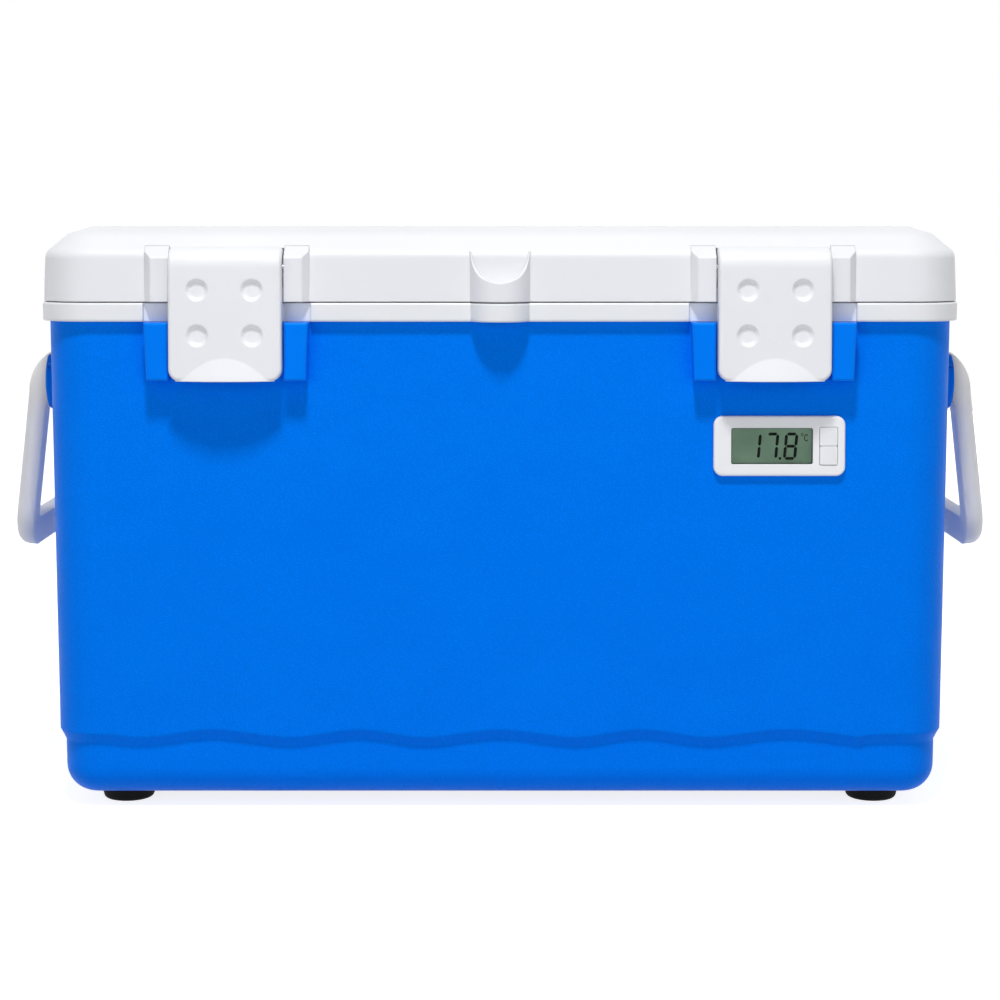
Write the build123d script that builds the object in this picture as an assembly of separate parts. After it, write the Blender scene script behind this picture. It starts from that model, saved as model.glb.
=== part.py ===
from build123d import *
from math import atan, cos, degrees, radians, sin, sqrt, tan
import os

# Insulated cooler with a hinged lid, two latches, two swing handles and a panel thermometer.
# Millimetres, +Z up, the front faces -Y, X runs from the left end to the right end.

# Overall heights
foot_height = 7.6
body_height = 293.0
rim_height = 11.0
seam_gap = 0.6
lid_height = 43.9
body_bottom = foot_height
rim_top = body_bottom + body_height
rim_bottom = rim_top - rim_height
lid_bottom = rim_top + seam_gap
lid_top = lid_bottom + lid_height

# Clearances
seat_gap = 0.1
slide_gap = 0.2
pin_press = 0.02
pin_running = 0.06

# Lid
lid_wall_height = 28.4
lid_wall_inset = 1.0
lid_bevel_height = 11.5
lid_bevel_inset = 13.9
lid_crown_inset = 14.0
lid_bevel_round = 14.0
lid_wall_round = 7.0
lid_crown_round = 5.0
lid_skin = 2.5
panel_skin = 2.5
plug_depth = 8.0
plug_clearance = 2.0
plug_round = 3.0
panel_clearance = 0.2
gasket_width = 8.0
gasket_margin = 15.0
gasket_groove = 1.4
gasket_proud = 0.4

# Rim of the liner, which laps over the outer skin
rim_overhang = 0.75
flange_thickness = 2.5
skirt_thickness = 4.1
skirt_clearance = 0.15
rim_edge_round = 1.2
latch_zone_setback = 2.4

# Outer skin
body_width = 534.0
body_depth = 343.0
body_corner = 28.0
body_draft = 0.85
body_skin = 2.5
base_fillet = 17.0
step_inset = 3.4
step_slope_height = 6.4

# Wave along the front and back of the step, from the middle to the corner.
# Crests and troughs alternate at these shares of the flat front; heights are above the body's base.
wave_crest_rise = 40.9
wave_trough_rise = 36.5
wave_end_rise = 38.4
wave_turns = (0.0, 0.2, 0.344, 0.507, 0.724, 0.895)

# Liner
wall_thickness = 37.0
opening_corner = 24.0
floor_thickness = 36.0
liner_depth = body_height - floor_thickness
liner_draft = 1.5
liner_wall = 2.0
liner_floor_fillet = 15.0
opening_round = 1.5

# Latches
latch_spacing = 317.4
latch_width = 65.5
latch_side_gap = 0.6
latch_hang = 65.7
latch_reach = 13.3
latch_plate = 3.4
latch_flange = 2.8
latch_edge_round = 2.2
latch_pin_radius = 1.75
latch_pin_behind_front = -1.5
latch_pin_rise = 20.1
latch_notch_gap = 0.7
latch_hood_back = 4.5
latch_hub_radius = 4.4
latch_corner = 7.0
latch_lip_reach = 4.0
latch_lip_width = 51.0
latch_lip_height = 13.3
latch_lip_margin = 4.0
latch_pin_tail = 9.0
dimple_spacing = 31.6
dimple_drops = (13.0, 39.3)
dimple_outer_radius = 6.5
dimple_inner_radius = 4.3
dimple_depth = 1.9

# Ears on the lid beside each latch and guards on the body below them
ear_width = 14.45
ear_reach = 4.5
ear_side_slope = 3.8
ear_shoulder_rise = 25.7
ear_round = 1.2
guard_reach = 8.0
guard_height = 33.9
guard_taper = 1.4
guard_round = 1.6
keeper_plate = 2.5
bead_reach = 3.5
bead_nose = 1.8
bead_height = 7.5
bead_rise = 12.2
bead_half_width = 26.0
hook_gap = 0.3
hook_drop = 0.6
hook_nose = 2.0
hook_root = 5.5
peg_radius = 2.5
peg_length = 5.0

# Centre tab
tab_width = 34.5
tab_reach = 13.0
tab_scoop_radius = 40.0
tab_round = 1.2
tab_scoop_low_rise = 10.9
tab_scoop_high_rise = 30.3

# Handles
handle_inset = 61.5
arm_width = 17.0
arm_thickness = 11.6
arm_lean = 6.2
arm_outer_round = 7.0
arm_edge_round = 2.5
neck_round = 10.0
eye_radius = 7.8
handle_pin_radius = 1.5
handle_pin_rise = 9.0
handle_pin_cover = 2.6
neck_out = 2.1
neck_drop = 25.0
neck_bulge = (12.0, -2.4)
outer_bend_rise = 9.0
grip_drop = 103.5
grip_corner = 14.0
grip_straight = 2.0
eye_inner_angle = 28.0
eye_outer_angle = 62.0
boss_radius = 18.0
boss_drop = 48.5
boss_round = 1.6
stop_drop = 6.0
handle_pin_short = 0.4
boss_reach = 7.6
boss_slot_gap = 0.45
swing_gap = 1.4
recess_wall = 2.5

# Hinges on the back
hinge_width = 46.0
hinge_axis_out = 7.6
hinge_knuckle_radius = 5.4
hinge_pin_radius = 2.0
hinge_centre_knuckle = 18.0
hinge_knuckle_gap = 0.4
hinge_plate = 3.4
hinge_body_plate = 4.0
hinge_chamfer = 1.5
hinge_swing_gap = 0.5
hinge_cover_drop = 0.8
hinge_cover_half = 2.5
hinge_lid_step = 7.0
hinge_lid_plate_height = 23.9
hinge_body_plate_height = 39.5
hinge_screw_spacing = 28.0
screw_shank_radius = 2.0
screw_head_radius = 3.8
screw_head_height = 2.2
screw_length = 14.0
cross_length = 2.8
cross_width = 0.8
cross_depth = 0.8

# Feet
foot_radius = 16.4
foot_taper = 1.75
foot_inset_x = 42.2
foot_inset_y = 40.5
foot_round = 3.0
foot_screw_head_radius = 4.2
foot_screw_head_height = 2.6
foot_counterbore_gap = 0.6
foot_counterbore_depth = 5.0
foot_screw_round = 1.0

# Thermometer
meter_offset = 4.5
meter_drop = 83.7
bezel_width = 77.0
bezel_height = 35.3
bezel_corner = 5.5
bezel_thickness = 3.2
bezel_round = 1.4
bezel_sunk = 0.2
window_width = 47.5
window_height = 21.0
window_offset = -4.4
window_recess = 0.5
window_thickness = 1.6
window_corner = 1.0
window_gap = 0.1
lcd_margin = 1.6
lcd_thickness = 1.9
button_width = 10.4
button_height = 10.9
button_offset = 28.6
button_proud = 0.5
button_travel = 0.8
button_flange = 0.7
button_plate = 0.8
button_corner = 0.8
button_round = 0.4
button_seat_depth = 1.6
switch_radius = 1.5
case_height = 28.0
case_depth = 17.0
case_wall = 1.8
case_corner = 3.0
board_thickness = 1.6
battery_radius = 10.0
battery_thickness = 3.2
lead_radius = 1.2
lead_offset = 15.0
probe_radius = 7.0
probe_proud = 2.5
probe_stem_radius = 3.0
probe_round = 1.2

# Values worked out from the sizes above
rim_width = body_width + 2 * (skirt_clearance + skirt_thickness)
rim_depth = body_depth + 2 * (skirt_clearance + skirt_thickness)
rim_corner = body_corner + skirt_clearance + skirt_thickness
lid_width = rim_width - 2 * rim_overhang
lid_depth = rim_depth - 2 * rim_overhang
lid_corner = rim_corner - rim_overhang
opening_width = rim_width - 2 * wall_thickness
opening_depth = rim_depth - 2 * wall_thickness
front = -lid_depth / 2
back = lid_depth / 2
body_front = -body_depth / 2
draft_slope = tan(radians(body_draft))
liner_slope = tan(radians(liner_draft))
wave_crest = body_bottom + wave_crest_rise
wave_trough = body_bottom + wave_trough_rise
wave_end = body_bottom + wave_end_rise
wave_reach = body_width / 2 - body_corner - 1.0
wave_half = [
    (share * wave_reach, wave_trough if turn % 2 else wave_crest)
    for turn, share in enumerate(wave_turns)
] + [(wave_reach, wave_end)]
latch_sides = ((-1, "left"), (1, "right"))
latch_centre = latch_spacing / 2
zone_half = latch_width / 2 + latch_side_gap + ear_width
latch_pin_y = front + latch_pin_behind_front
latch_pin_z = lid_bottom + latch_pin_rise
latch_bottom = latch_pin_z - latch_hang
ear_shoulder_z = lid_bottom + ear_shoulder_rise
guard_high = rim_bottom - slide_gap
guard_low = guard_high - guard_height
bead_bottom = guard_low + bead_rise
tab_scoop_low = lid_bottom + tab_scoop_low_rise
tab_scoop_high = lid_bottom + tab_scoop_high_rise
hook_reach = bead_reach + hook_gap
handle_spacing = body_depth - 2 * handle_inset
lean_sin = sin(radians(arm_lean))
lean_cos = cos(radians(arm_lean))
boss_z = rim_top - boss_drop
handle_pin_z = boss_z + handle_pin_rise
neck_low_z = handle_pin_z - neck_drop
grip_z = handle_pin_z - grip_drop
arm_end_z = grip_z + (grip_corner + grip_straight) * lean_cos
hinge_lid_plate_top = lid_bottom + hinge_lid_plate_height
hinge_body_plate_bottom = rim_top - hinge_body_plate_height
foot_x = body_width / 2 - foot_inset_x
foot_y = body_depth / 2 - foot_inset_y
meter_x = latch_centre + meter_offset
meter_z = rim_top - meter_drop
case_width = 2 * (button_offset + button_width / 2 + button_flange + slide_gap + case_wall)
latch_roll = latch_reach + latch_pin_behind_front
hinge_axis_y = back + hinge_axis_out
hinge_axis_z = rim_top + seam_gap / 2
front_reach = lid_depth / 2 + latch_reach + latch_lip_reach
back_reach = hinge_axis_y + hinge_knuckle_radius
centre_shift = (front_reach - back_reach) / 2

nodes = {}


def drafted_block(width, depth, corner, z_ref, slope, z_low, z_high):
    """Block with round corners, its sides spreading upward; the sizes are those at z_ref."""
    drop = slope * (z_ref - z_low)
    outline = RectangleRounded(width - 2 * drop, depth - 2 * drop, corner - drop)
    return extrude(Pos(0, 0, z_low) * outline, amount=z_high - z_low, taper=-degrees(atan(slope)))


def bevel_block(width, depth, corner, z_low, z_high, inset):
    """Block with round corners whose sides draw in by inset from z_low to z_high."""
    outline = RectangleRounded(width, depth, corner)
    angle = degrees(atan(inset / (z_high - z_low)))
    return extrude(Pos(0, 0, z_low) * outline, amount=z_high - z_low, taper=angle)


def span(x_low, x_high, y_low, y_high, z_low, z_high):
    """Box given by its limits."""
    middle = Pos((x_low + x_high) / 2, (y_low + y_high) / 2, (z_low + z_high) / 2)
    return middle * Box(x_high - x_low, y_high - y_low, z_high - z_low)


def rod(start, direction, radius, length):
    """Round bar from a point along a direction."""
    plane = Plane(origin=start, z_dir=direction)
    return extrude(plane * Circle(radius), amount=length)


def across(face, x_middle, width):
    """Prism along X from a face drawn in (y, z), centred on x_middle."""
    return Pos(x_middle, 0, 0) * extrude(Plane.YZ * face, amount=width / 2, both=True)


def polygon(*points):
    """Closed face through points in the order given."""
    return make_face(Polyline(*points, close=True))


def nearest_corner(face, place):
    """The face's vertex nearest to a place in its own plane."""
    return face.vertices().sort_by_distance((place[0], place[1], 0))[0]


def body_block(grow, z_low, z_high):
    """The drafted outside of the skin, moved out by grow."""
    width = body_width + 2 * grow
    depth = body_depth + 2 * grow
    return drafted_block(width, depth, body_corner + grow, rim_bottom, draft_slope, z_low, z_high)


def body_half_width(z):
    return body_width / 2 - draft_slope * (rim_bottom - z)


def body_half_depth(z):
    return body_depth / 2 - draft_slope * (rim_bottom - z)


def liner_block(grow, floor_z):
    """The tub's form, moved out by grow, from its floor to the rim's top."""
    width = opening_width + 2 * grow
    depth = opening_depth + 2 * grow
    corner = opening_corner + grow
    block = drafted_block(width, depth, corner, rim_top, liner_slope, floor_z, rim_top)
    floor_edges = block.faces().sort_by(Axis.Z)[0].edges()
    return fillet(floor_edges, liner_floor_fillet + grow)


def lid_block(grow, z_low):
    """The lid's form, moved out by grow: drafted wall, bevel and shallow crown."""
    wall_slope = lid_wall_inset / lid_wall_height
    wall_top = lid_bottom + lid_wall_height + grow
    bevel_top = wall_top + lid_bevel_height
    crown_top = lid_top + grow
    shrink = wall_slope * (z_low - lid_bottom) - grow
    width = lid_width - 2 * shrink
    depth = lid_depth - 2 * shrink
    corner = lid_corner - shrink
    wall_inset = wall_slope * (wall_top - z_low)
    wall = bevel_block(width, depth, corner, z_low, wall_top, wall_inset)
    width -= 2 * wall_inset
    depth -= 2 * wall_inset
    corner -= wall_inset
    bevel = bevel_block(width, depth, corner, wall_top, bevel_top, lid_bevel_inset)
    width -= 2 * lid_bevel_inset
    depth -= 2 * lid_bevel_inset
    corner -= lid_bevel_inset
    crown = bevel_block(width, depth, corner, bevel_top, crown_top, lid_crown_inset)
    return wall + bevel + crown


def edges_near(shape, z, tolerance=0.05):
    """Edges that lie level at height z."""
    return [
        edge
        for edge in shape.edges()
        if abs(edge.bounding_box().min.Z - z) < tolerance
        and abs(edge.bounding_box().max.Z - z) < tolerance
    ]


# Outer skin: drafted box over an inset base, with a wavy sloping step between them
def wave_side(row):
    """Upper skin along the front (-1) or back (1), down to the wave's sloping underside."""
    slope = step_slope_height / step_inset
    depth_inside = step_inset + body_skin
    start = body_half_depth(wave_end) - depth_inside
    mirrored = [(-x, z) for x, z in reversed(wave_half[1:])]
    lowered = [(x, z - depth_inside * slope) for x, z in mirrored + wave_half]
    wave = Spline(*lowered, tangents=((1, 0), (1, 0)))
    end_x, end_z = lowered[-1]
    frame = Polyline((end_x, end_z), (end_x, lid_top), (-end_x, lid_top), (-end_x, end_z))
    plane = Plane(origin=(0, row * start, 0), x_dir=(1, 0, 0), z_dir=(0, -1, 0))
    reach = 2 * depth_inside * sqrt(1 + slope**2)
    return extrude(plane * make_face(wave + frame), amount=reach, dir=(0, row, slope))


def skin_form():
    skin_top = rim_top - flange_thickness - seat_gap
    base = body_block(-step_inset, body_bottom, wave_crest + step_slope_height)
    base = fillet(base.faces().sort_by(Axis.Z)[0].edges(), base_fillet)
    sides = body_block(0, body_bottom + base_fillet, skin_top) & (wave_side(-1) + wave_side(1))
    low_z = wave_end - step_slope_height
    low_width = 2 * (body_half_width(wave_end) - step_inset)
    low_depth = 2 * (body_half_depth(wave_end) - step_inset)
    low_corner = body_corner - draft_slope * (rim_bottom - wave_end) - step_inset
    slope_band = bevel_block(low_width, low_depth, low_corner, low_z, wave_end, -step_inset)
    ends = slope_band + body_block(0, wave_end, skin_top)
    ends -= span(-wave_reach, wave_reach, -body_depth, body_depth, 0, lid_top)
    return base + ends + sides


def skin_cavity(gap):
    """Inside of the skin, drawn in by gap."""
    inset = body_skin + gap
    floor_z = body_bottom + inset
    step_z = wave_crest + body_skin + gap
    base = body_block(-step_inset - inset, floor_z, step_z + 1)
    base = fillet(base.faces().sort_by(Axis.Z)[0].edges(), base_fillet - inset)
    return base + body_block(-inset, step_z, rim_top - flange_thickness - gap)


# Handle bosses on the end walls: a slotted disc with a recess for the arm's eye
boss_face_x = body_half_width(boss_z) + boss_reach
handle_pin_x = boss_face_x - handle_pin_cover
slot_width = arm_width + 2 * boss_slot_gap
recess_radius = eye_radius + swing_gap


def boss_form(y_middle):
    start = body_half_width(boss_z) - 1.0
    length = boss_face_x - start
    disc = rod((start, y_middle, boss_z), (1, 0, 0), boss_radius, length)
    return fillet(disc.faces().sort_by(Axis.X)[-1].edges(), boss_round)


def boss_slot(y_middle):
    """Room for the arm and its swing, with a stop under the arm's neck."""
    wall_x = body_half_width(boss_z)
    slot_low = y_middle - slot_width / 2
    slot_high = y_middle + slot_width / 2
    low = boss_z - boss_radius - 1
    high = boss_z + boss_radius + 1
    stop_high = boss_z - stop_drop
    gap = span(wall_x, boss_face_x + 1, slot_low, slot_high, low, high)
    stop_face = polygon(
        (wall_x - 1, low),
        (neck_line_x(neck_low_z) - slide_gap, low),
        (neck_line_x(neck_low_z) - slide_gap, neck_low_z),
        (neck_line_x(stop_high) - slide_gap, stop_high),
        (wall_x - 1, stop_high),
    )
    stop = Pos(0, y_middle, 0) * extrude(Plane.XZ * stop_face, amount=slot_width, both=True)
    bore = rod((handle_pin_x, slot_low, handle_pin_z), (0, 1, 0), recess_radius, slot_width)
    return gap - stop + bore


def recess_housing(y_middle, grow):
    """Wall round the recess, on the inside of the skin."""
    radius = recess_radius + recess_wall + grow
    half = slot_width / 2 + recess_wall + grow
    start = (handle_pin_x, y_middle - half, handle_pin_z)
    round_wall = rod(start, (0, 1, 0), radius, 2 * half)
    limit = body_half_width(handle_pin_z) - body_skin / 2
    return round_wall & span(0, limit, y_middle - half, y_middle + half, 0, lid_top)


def eye_place(angle):
    """Point on the arm's eye, in (x, z)."""
    x = handle_pin_x + eye_radius * cos(radians(angle))
    z = handle_pin_z + eye_radius * sin(radians(angle))
    return x, z


def neck_line_x(z):
    """Inner side of the arm's neck: a line from the eye to the arm."""
    eye_x, eye_z = eye_place(180 + eye_inner_angle)
    low_x = arm_inner_x(neck_low_z)
    return eye_x + (low_x - eye_x) * (eye_z - z) / (eye_z - neck_low_z)


def arm_inner_x(z):
    """Inner side of the leaning arm."""
    return boss_face_x + neck_out + tan(radians(arm_lean)) * (neck_low_z - z)


# Handle: two arms with eyes and necks, joined by a grip
def arm_form():
    """The rear arm. Its outer long edges are rounded, most of all the rear one."""
    bend_z = neck_low_z + outer_bend_rise
    eye_in = eye_place(180 + eye_inner_angle)
    eye_out = eye_place(eye_outer_angle)
    crown_mid = (handle_pin_x + neck_bulge[0], handle_pin_z + neck_bulge[1])
    outer_top = (arm_inner_x(bend_z) + arm_thickness / lean_cos, bend_z)
    inner_top = (arm_inner_x(neck_low_z), neck_low_z)
    inner_end = (arm_inner_x(arm_end_z), arm_end_z)
    outer_end = (inner_end[0] + arm_thickness * lean_cos, arm_end_z + arm_thickness * lean_sin)
    outline = [
        ThreePointArc(eye_in, eye_place(180), eye_out),
        ThreePointArc(eye_out, crown_mid, outer_top),
        Line(outer_top, outer_end),
        Line(outer_end, inner_end),
        Line(inner_end, inner_top),
        Line(inner_top, eye_in),
    ]
    face = make_face(outline)
    for bend in (outer_top, inner_top):
        face = fillet(nearest_corner(face, bend), neck_round)
    arm = extrude(Plane.XZ * face, amount=arm_width / 2, both=True)
    for position, radius in ((-1, arm_outer_round), (0, arm_edge_round)):
        flat = arm.faces().filter_by(Axis.Y).sort_by(Axis.Y)[position]
        arm = fillet([edge for edge in flat.edges() if on_outer_side(edge.center())], radius)
    return Pos(0, handle_spacing / 2, 0) * arm


def on_outer_side(place):
    """Whether a place is on the outer side of the arm or its neck."""
    beyond_eye = place.X > handle_pin_x + eye_radius / 2
    return beyond_eye and place.X - arm_inner_x(place.Z) > 0.6 * arm_thickness


def bar_section():
    """Section of the arm at its lower end: the first direction points to the handle's middle."""
    half_width = arm_width / 2
    half_thickness = arm_thickness / 2
    section = Rectangle(arm_width, arm_thickness)
    section = fillet(nearest_corner(section, (-half_width, half_thickness)), arm_outer_round)
    return fillet(nearest_corner(section, (half_width, half_thickness)), arm_edge_round)


def grip_form():
    """Grip and its two corners: the arm's section along a path in the leaning plane."""
    half = handle_spacing / 2
    end_x = arm_inner_x(arm_end_z) + arm_thickness / 2 * lean_cos
    end_z = arm_end_z + arm_thickness / 2 * lean_sin
    leaning = Plane(origin=(end_x, 0, end_z), x_dir=(0, 1, 0), z_dir=(lean_cos, 0, lean_sin))
    depth = grip_corner + grip_straight
    corners = ((-half, 0), (-half, -depth), (half, -depth), (half, 0))
    path = leaning * FilletPolyline(*corners, radius=grip_corner)
    start = Plane(origin=(end_x, -half, end_z), x_dir=(0, 1, 0), z_dir=(lean_sin, 0, -lean_cos))
    return sweep(start * bar_section(), path=path)


def handle_pin(y_middle):
    reach = sqrt(boss_radius**2 - handle_pin_rise**2) - handle_pin_short
    start = (handle_pin_x, y_middle - reach, handle_pin_z)
    return rod(start, (0, 1, 0), handle_pin_radius, 2 * reach)


handle_rows = ((-1, "front"), (1, "rear"))
arm_rows = [(row * handle_spacing / 2, row_name) for row, row_name in handle_rows]

skin = skin_form() - skin_cavity(0)
tub_floor = rim_top - liner_depth
foam = skin_cavity(seat_gap) - liner_block(liner_wall + seat_gap, tub_floor - liner_wall - seat_gap)

right_bosses = [boss_form(y) for y, _ in arm_rows]
right_housings = [recess_housing(y, 0) for y, _ in arm_rows]
right_slots = [boss_slot(y) for y, _ in arm_rows]
right_foam_rooms = [recess_housing(y, seat_gap) for y, _ in arm_rows]

for solid in right_bosses + right_housings:
    skin += solid
    skin += mirror(solid, Plane.YZ)
for solid in right_slots:
    skin -= solid
    skin -= mirror(solid, Plane.YZ)
for solid in right_foam_rooms:
    foam -= solid
    foam -= mirror(solid, Plane.YZ)

rear_arm = arm_form()
handle = grip_form() + rear_arm + mirror(rear_arm, Plane.XZ)
for y, _ in arm_rows:
    bore_start = (handle_pin_x, y - arm_width, handle_pin_z)
    handle -= rod(bore_start, (0, 1, 0), handle_pin_radius + pin_running, 2 * arm_width)
for y, row_name in arm_rows:
    pin = handle_pin(y)
    bore_start = (handle_pin_x, y - boss_radius, handle_pin_z)
    bore = rod(bore_start, (0, 1, 0), handle_pin_radius + pin_press, 2 * boss_radius)
    skin -= bore
    skin -= mirror(bore, Plane.YZ)
    nodes["right_" + row_name + "_handle_pin"] = pin
    nodes["left_" + row_name + "_handle_pin"] = mirror(pin, Plane.YZ)
nodes["right_handle"] = handle
nodes["left_handle"] = mirror(handle, Plane.YZ)

# Liner: tub, flange and skirt
rim_outline = RectangleRounded(rim_width, rim_depth, rim_corner)
rim = extrude(Pos(0, 0, rim_bottom) * rim_outline, amount=rim_height)
rim = fillet(edges_near(rim, rim_top) + edges_near(rim, rim_bottom), rim_edge_round)


def tab_form(z_low, z_high):
    """Half-round tab that stands out from the front wall."""
    radius = ((tab_width / 2) ** 2 + tab_reach**2) / (2 * tab_reach)
    column = Pos(0, front - tab_reach + radius, z_low) * extrude(Circle(radius), amount=z_high - z_low)
    return column & span(-tab_width, tab_width, front - 2 * tab_reach, front + lid_skin, z_low, z_high)


lower_tab = tab_form(rim_bottom, rim_top)
rim += fillet(lower_tab.edges().filter_by(GeomType.CIRCLE), tab_round)
rim -= body_block(skirt_clearance, rim_bottom - 1, rim_top - flange_thickness)
for side, _ in latch_sides:
    x = side * latch_centre
    zone = zone_half + 1
    setback_y = front - rim_overhang + latch_zone_setback
    rim -= span(x - zone, x + zone, front - latch_reach, setback_y, 0, lid_top)
liner = rim + liner_block(liner_wall, tub_floor - liner_wall) - liner_block(0, tub_floor)
opening_edges = [
    edge
    for edge in edges_near(liner, rim_top)
    if abs(edge.center().Y) < opening_depth / 2 + 1 and abs(edge.center().X) < opening_width / 2 + 1
]
liner = fillet(opening_edges, opening_round)


# Lid: shell, foam, inner panel with its plug, gasket
def lid_shell_form():
    outer = lid_block(0, lid_bottom)
    wall_top = lid_bottom + lid_wall_height
    bevel_top = wall_top + lid_bevel_height
    outer = fillet(edges_near(outer, bevel_top), lid_bevel_round)
    outer = fillet(edges_near(outer, wall_top), lid_wall_round)
    outer = fillet(edges_near(outer, lid_top), lid_crown_round)
    return outer


def notch(x, grow, side_grow):
    """Round notch for the latch's roll."""
    start = (x - latch_width / 2 - latch_side_gap - side_grow, latch_pin_y, latch_pin_z)
    radius = latch_roll + latch_notch_gap + grow
    return rod(start, (1, 0, 0), radius, latch_width + 2 * latch_side_gap + 2 * side_grow)


def ears(x):
    """Pair of ears that hold the latch's pin."""
    slope_rise = (ear_reach + 4) * lid_bevel_height / lid_bevel_inset
    profile = polygon(
        (front + 2, lid_bottom),
        (front - ear_reach, lid_bottom),
        (front - ear_reach, ear_shoulder_z),
        (front + 4, ear_shoulder_z + slope_rise),
    )
    block = across(profile, x, 2 * zone_half)
    plan = polygon(
        (x - zone_half, front + 5),
        (x - zone_half, front),
        (x - zone_half + ear_side_slope, front - ear_reach),
        (x + zone_half - ear_side_slope, front - ear_reach),
        (x + zone_half, front),
        (x + zone_half, front + 5),
    )
    block = block & extrude(Pos(0, 0, lid_bottom) * plan, amount=lid_height)
    face_edges = block.faces().sort_by(Axis.Y)[0].edges()
    block = fillet(face_edges.sort_by(Axis.Z)[1:], ear_round)
    inner = latch_width / 2 + latch_side_gap
    return block - span(x - inner, x + inner, front - latch_reach, front + latch_reach, 0, lid_top)


lid_outer = lid_shell_form()
lid_inner = lid_block(-lid_skin, lid_bottom - 1)
lid_foam = lid_block(-lid_skin - seat_gap, lid_bottom + panel_skin + seat_gap)
lid_shell = lid_outer - lid_inner
for side, _ in latch_sides:
    x = side * latch_centre
    lid_shell += notch(x, lid_skin, lid_skin) & lid_outer
    lid_shell += ears(x) - lid_inner
    lid_foam -= notch(x, lid_skin + seat_gap, lid_skin + seat_gap)
for side, _ in latch_sides:
    lid_shell -= notch(side * latch_centre, 0, 0)

scoop_low = Vector(0, front - tab_reach, tab_scoop_low)
scoop_high = Vector(0, front + lid_wall_inset, tab_scoop_high)
scoop_chord = scoop_high - scoop_low
scoop_normal = Vector(0, -scoop_chord.Z, scoop_chord.Y).normalized()
scoop_depth = sqrt(tab_scoop_radius**2 - (scoop_chord.length / 2) ** 2)
scoop_centre = (scoop_low + scoop_high) * 0.5 + scoop_normal * scoop_depth
scoop = rod((-tab_width, scoop_centre.Y, scoop_centre.Z), (1, 0, 0), tab_scoop_radius, 2 * tab_width)
lid_tab = tab_form(lid_bottom, tab_scoop_high) - scoop
lid_shell += lid_tab

plug_width = opening_width - 2 * plug_clearance
plug_length = opening_depth - 2 * plug_clearance
plug_corner = opening_corner - plug_clearance
plug_low = rim_top - plug_depth


def plug_slab(grow, z_low, z_high):
    """Level slab in the plug's outline, moved out by grow."""
    outline = RectangleRounded(plug_width + 2 * grow, plug_length + 2 * grow, plug_corner + grow)
    return extrude(Pos(0, 0, z_low) * outline, amount=z_high - z_low)


def ring_slab(outer_grow, inner_grow, z_low, z_high):
    """Level ring between two outlines of the plug."""
    return plug_slab(outer_grow, z_low, z_high) - plug_slab(inner_grow, z_low, z_high)


panel_inset = lid_skin + panel_clearance
panel_outline = RectangleRounded(
    lid_width - 2 * panel_inset,
    lid_depth - 2 * panel_inset,
    lid_corner - panel_inset,
)
panel_top = lid_bottom + panel_skin
plug = plug_slab(0, plug_low, panel_top)
plug = fillet(edges_near(plug, plug_low), plug_round)
plug_hollow = plug_slab(-panel_skin, plug_low + panel_skin, lid_top)
panel = extrude(Pos(0, 0, lid_bottom) * panel_outline, amount=panel_skin) + plug - plug_hollow
foam_low = plug_low + panel_skin + seat_gap
lid_foam += plug_slab(-panel_skin - seat_gap, foam_low, panel_top + panel_skin)

gasket_inner = gasket_margin - gasket_width
groove_top = lid_bottom + gasket_groove
gasket = ring_slab(gasket_margin, gasket_inner, lid_bottom - gasket_proud, groove_top)
panel -= ring_slab(gasket_margin + seat_gap, gasket_inner - seat_gap, lid_bottom - 1, groove_top)


# Latch: hood over the pin, face plate with dimples, side flanges, hook and flared lip
def latch_outline(inset, back_y, low_z):
    """Side view: the roll round the pin and the plate below it, drawn in by inset."""
    roll = Pos(latch_pin_y, latch_pin_z) * Circle(latch_roll - inset)
    plate_front = front - latch_reach + inset
    height = latch_pin_z - low_z
    plate = Pos((plate_front + back_y) / 2, low_z + height / 2) * Rectangle(back_y - plate_front, height)
    return roll + plate


def latch_form():
    body = across(latch_outline(0, front - hook_reach, latch_bottom), 0, latch_width)
    hood_end = latch_pin_y + latch_hood_back
    body = body & span(-latch_width, latch_width, front - 2 * latch_reach, hood_end, 0, lid_top)
    body -= span(-latch_width, latch_width, front - hook_reach, front + latch_reach, 0, latch_pin_z)
    corners = [edge for edge in body.edges().filter_by(Axis.Y) if edge.center().Z < latch_bottom + 1]
    body = fillet(corners, latch_corner)
    plate_edges = body.faces().sort_by(Axis.Y)[0].edges()
    return fillet([edge for edge in plate_edges if edge.center().Z < latch_pin_z - 1], latch_edge_round)


def lip_flare(inset):
    """Cylinder tilted so that it leaves the plate in an arc and stands out at the bottom."""
    half = latch_lip_width / 2
    radius = (half**2 + latch_lip_reach**2) / (2 * latch_lip_reach)
    tilt = degrees(atan(latch_lip_reach / latch_lip_height))
    plane = Plane(origin=(0, front - latch_reach - latch_lip_reach, latch_bottom))
    axis = plane * Rot(-tilt, 0, 0) * Pos(0, radius, -latch_hang)
    column = axis * extrude(Circle(radius - inset), amount=2 * latch_hang)
    limit = latch_width / 2 - latch_lip_margin
    front_limit = front - 2 * latch_reach
    back_limit = front - latch_reach + latch_plate / 2
    high = latch_bottom + 1.5 * latch_lip_height
    return column & span(-limit, limit, front_limit, back_limit, latch_bottom, high)


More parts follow.
